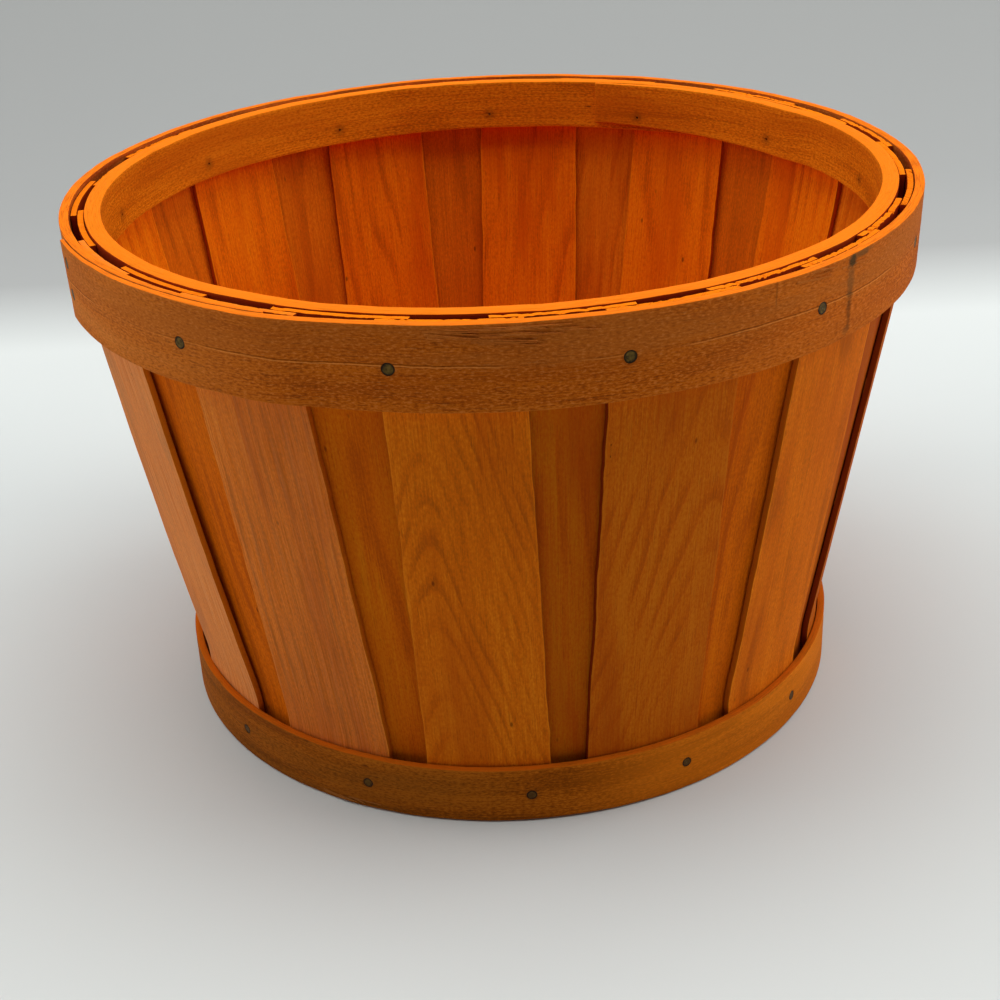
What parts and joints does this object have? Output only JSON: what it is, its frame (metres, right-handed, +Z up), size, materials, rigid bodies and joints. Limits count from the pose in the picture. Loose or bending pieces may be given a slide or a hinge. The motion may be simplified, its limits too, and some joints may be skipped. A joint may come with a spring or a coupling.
{
  "type": "basket",
  "caption": "Round wooden farm basket of thin staves in two layers, nailed between rim hoops and to a solid bottom board, for carrying fruit.",
  "frame": {"origin": "on the ground under the middle of the basket, on its axis, level with the bottom hoop's lower edge", "axes": "+Z up along the basket's axis, towards its open top; -Y towards the side that the picture shows"},
  "size_m": [0.2792, 0.2792, 0.1778],
  "materials": {
    "outer_stave": "orange-stained veneer, dry and slightly rough",
    "inner_stave": "orange-stained veneer, darker than the outer layer",
    "rim_hoop": "orange-stained sawn strip, satin",
    "bottom_hoop": "orange-stained sawn strip, splintered edges",
    "board": "orange-stained sawn board",
    "nail": "dull, darkened steel"
  },
  "bodies": {
    "root": {"bottom_board": "board", "bottom_hoop": "bottom_hoop", "bottom_nail_01": "nail", "bottom_nail_02": "nail", "bottom_nail_03": "nail", "bottom_nail_04": "nail", "bottom_nail_05": "nail", "bottom_nail_06": "nail", "bottom_nail_07": "nail", "bottom_nail_08": "nail", "bottom_nail_09": "nail", "bottom_nail_10": "nail", "bottom_nail_11": "nail", "bottom_nail_12": "nail", "bottom_nail_13": "nail", "inner_rim_hoop": "rim_hoop", "inner_stave_01": "inner_stave", "inner_stave_02": "inner_stave", "inner_stave_03": "inner_stave", "inner_stave_04": "inner_stave", "inner_stave_05": "inner_stave", "inner_stave_06": "inner_stave", "inner_stave_07": "inner_stave", "inner_stave_08": "inner_stave", "inner_stave_09": "inner_stave", "inner_stave_10": "inner_stave", "inner_stave_11": "inner_stave", "inner_stave_12": "inner_stave", "inner_stave_13": "inner_stave", "lap_nail": "nail", "outer_rim_hoop": "rim_hoop", "outer_stave_01": "outer_stave", "outer_stave_02": "outer_stave", "outer_stave_03": "outer_stave", "outer_stave_04": "outer_stave", "outer_stave_05": "outer_stave", "outer_stave_06": "outer_stave", "outer_stave_07": "outer_stave", "outer_stave_08": "outer_stave", "outer_stave_09": "outer_stave", "outer_stave_10": "outer_stave", "outer_stave_11": "outer_stave", "outer_stave_12": "outer_stave", "outer_stave_13": "outer_stave", "rim_nail_01": "nail", "rim_nail_02": "nail", "rim_nail_03": "nail", "rim_nail_04": "nail", "rim_nail_05": "nail", "rim_nail_06": "nail", "rim_nail_07": "nail", "rim_nail_08": "nail", "rim_nail_09": "nail", "rim_nail_10": "nail", "rim_nail_11": "nail", "rim_nail_12": "nail", "rim_nail_13": "nail"}
  },
  "joints": []
}
